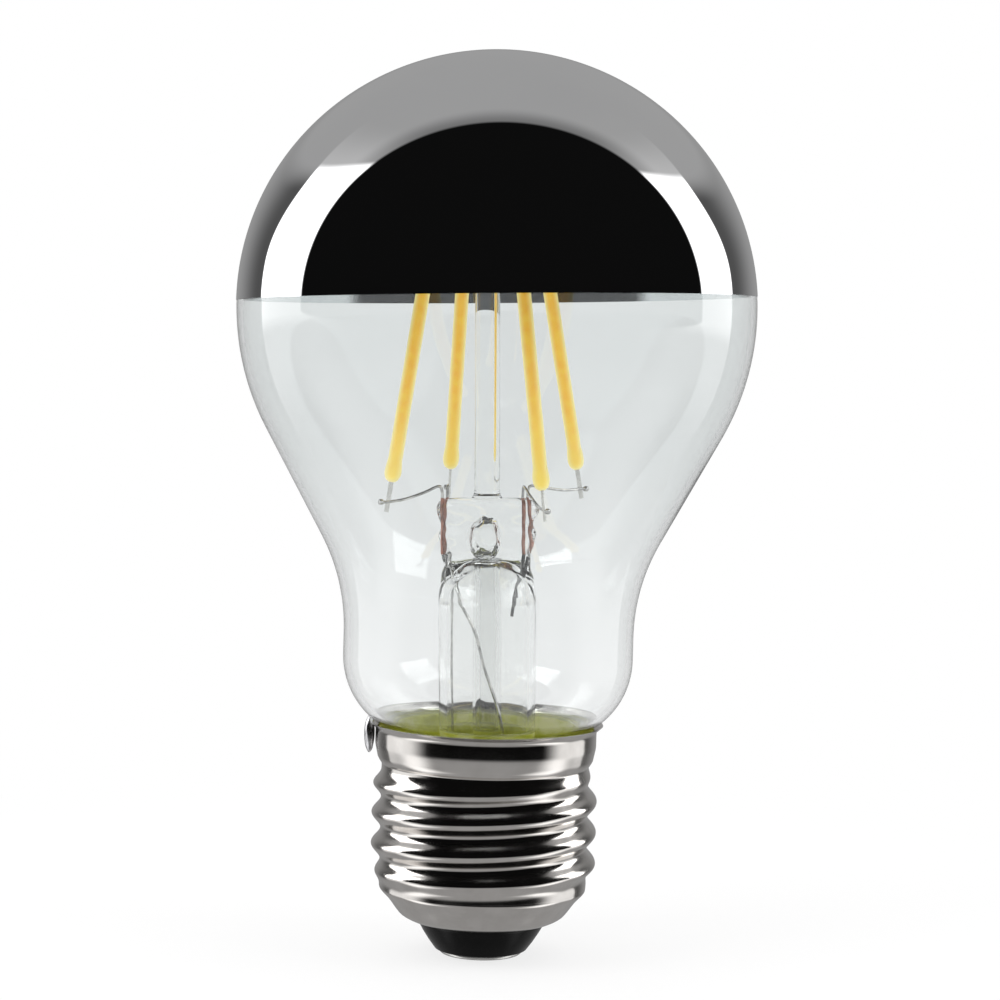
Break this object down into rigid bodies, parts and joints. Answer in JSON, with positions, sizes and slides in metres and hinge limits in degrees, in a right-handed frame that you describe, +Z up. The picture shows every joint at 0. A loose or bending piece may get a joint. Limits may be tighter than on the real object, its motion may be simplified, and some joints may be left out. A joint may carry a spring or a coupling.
{
  "type": "led filament bulb",
  "caption": "Clear pear-shaped screw-cap bulb with a mirrored crown, yellow LED filament sticks held on a glass stem and a rolled metal thread below.",
  "frame": {"origin": "centre of the bottom contact's face", "axes": "+Z up the bulb's axis from the cap to the crown, -Y towards the viewer of the picture"},
  "size_m": [0.0599, 0.06, 0.105],
  "materials": {
    "bulb_glass": "clear, fire-polished",
    "mirror_coat": "silvered",
    "cap_metal": "nickel-plated sheet",
    "contact_metal": "plated",
    "cap_insulator": "black glass, glossy",
    "cement": "cured resin cement",
    "solder": "solder",
    "stem_glass": "clear",
    "dumet": "copper-clad seal wire",
    "lead_wire": "nickel wire",
    "phosphor": "phosphor in clear silicone",
    "strip": "chips on a ceramic strip",
    "circuit_board": "laminate",
    "component": "moulded",
    "resistor": "coated"
  },
  "bodies": {
    "root": {"bridge_rectifier": "component", "cap_insulator": "cap_insulator", "cap_shell": "cap_metal", "capping_cement": "cement", "centre_contact": "contact_metal", "cut_stub_1": "lead_wire", "cut_stub_2": "lead_wire", "driver_board": "circuit_board", "driver_chip": "component", "dumet_seal_1": "dumet", "dumet_seal_2": "dumet", "dumet_seal_3": "dumet", "dumet_seal_4": "dumet", "exhaust_tube": "stem_glass", "filament_1_lower_pin": "lead_wire", "filament_1_phosphor": "phosphor", "filament_1_strip": "strip", "filament_1_upper_pin": "lead_wire", "filament_2_lower_pin": "lead_wire", "filament_2_phosphor": "phosphor", "filament_2_strip": "strip", "filament_2_upper_pin": "lead_wire", "filament_3_lower_pin": "lead_wire", "filament_3_phosphor": "phosphor", "filament_3_strip": "strip", "filament_3_upper_pin": "lead_wire", "filament_4_lower_pin": "lead_wire", "filament_4_phosphor": "phosphor", "filament_4_strip": "strip", "filament_4_upper_pin": "lead_wire", "fuse_resistor": "resistor", "glass_envelope": "bulb_glass", "inner_lead_1": "lead_wire", "inner_lead_2": "lead_wire", "inner_lead_3": "lead_wire", "inner_lead_4": "lead_wire", "link_wire_lower": "lead_wire", "link_wire_upper": "lead_wire", "mains_lead_centre": "lead_wire", "mains_lead_side": "lead_wire", "outer_lead_crossing": "lead_wire", "outer_lead_left": "lead_wire", "side_contact_solder": "solder", "silvered_crown": "mirror_coat", "smoothing_capacitor": "component", "stem_flare": "stem_glass", "support_rod": "stem_glass"}
  },
  "joints": []
}
